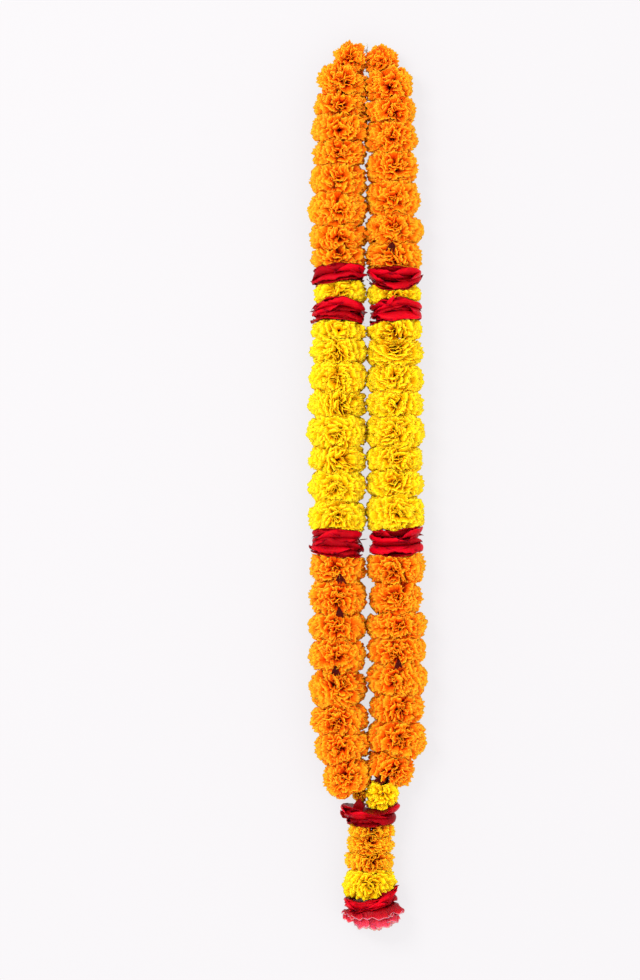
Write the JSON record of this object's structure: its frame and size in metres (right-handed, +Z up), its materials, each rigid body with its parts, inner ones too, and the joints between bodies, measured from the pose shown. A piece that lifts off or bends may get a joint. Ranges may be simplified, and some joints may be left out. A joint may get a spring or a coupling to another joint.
{
  "type": "marigold garland",
  "caption": "Closed loop of threaded orange and yellow marigold heads parted by red petal bands, with a short tassel that ends in a frilled pink skirt, lying flat.",
  "frame": {"origin": "centre of the garland's outline, on the surface it lies on", "axes": "+Z up from the surface, +Y along the garland towards the top of its loop, the tassel at -Y, +X across it"},
  "size_m": [0.123, 0.9182, 0.055],
  "materials": {
    "orange_petals": "matt ruffled orange marigold petals",
    "yellow_petals": "matt ruffled bright yellow marigold petals",
    "amber_petals": "matt amber marigold petals, closely packed",
    "red_petals": "satin dark red petals with ragged darker rims",
    "pink_petals": "soft satin pink petals with pleats",
    "cotton_thread": "plain twisted cotton, off-white"
  },
  "bodies": {
    "root": {"garland_thread": "cotton_thread", "junction_amber_head": "amber_petals", "junction_yellow_head": "yellow_petals", "lower_orange_left_1": "orange_petals", "lower_orange_left_2": "orange_petals", "lower_orange_left_3": "orange_petals", "lower_orange_left_4": "orange_petals", "lower_orange_left_5": "orange_petals", "lower_orange_left_6": "orange_petals", "lower_orange_left_7": "orange_petals", "lower_orange_left_8": "orange_petals", "lower_orange_right_1": "orange_petals", "lower_orange_right_2": "orange_petals", "lower_orange_right_3": "orange_petals", "lower_orange_right_4": "orange_petals", "lower_orange_right_5": "orange_petals", "lower_orange_right_6": "orange_petals", "lower_orange_right_7": "orange_petals", "lower_orange_right_8": "orange_petals", "red_band_left_1": "red_petals", "red_band_left_2": "red_petals", "red_band_left_3": "red_petals", "red_band_right_1": "red_petals", "red_band_right_2": "red_petals", "red_band_right_3": "red_petals", "tassel_amber_1": "amber_petals", "tassel_amber_2": "amber_petals", "tassel_amber_3": "amber_petals", "tassel_pink_petals": "pink_petals", "tassel_red_band": "red_petals", "tassel_red_petals": "red_petals", "tassel_yellow_head": "yellow_petals", "upper_orange_left_1": "orange_petals", "upper_orange_left_2": "orange_petals", "upper_orange_left_3": "orange_petals", "upper_orange_left_4": "orange_petals", "upper_orange_left_5": "orange_petals", "upper_orange_left_6": "orange_petals", "upper_orange_left_7": "orange_petals", "upper_orange_left_8": "orange_petals", "upper_orange_left_9": "orange_petals", "upper_orange_right_1": "orange_petals", "upper_orange_right_2": "orange_petals", "upper_orange_right_3": "orange_petals", "upper_orange_right_4": "orange_petals", "upper_orange_right_5": "orange_petals", "upper_orange_right_6": "orange_petals", "upper_orange_right_7": "orange_petals", "upper_orange_right_8": "orange_petals", "yellow_pair_left_1": "yellow_petals", "yellow_pair_left_2": "yellow_petals", "yellow_pair_left_3": "yellow_petals", "yellow_pair_left_4": "yellow_petals", "yellow_pair_right_1": "yellow_petals", "yellow_pair_right_2": "yellow_petals", "yellow_pair_right_3": "yellow_petals", "yellow_pair_right_4": "yellow_petals", "yellow_spacer_left": "yellow_petals", "yellow_spacer_right": "yellow_petals"}
  },
  "joints": []
}
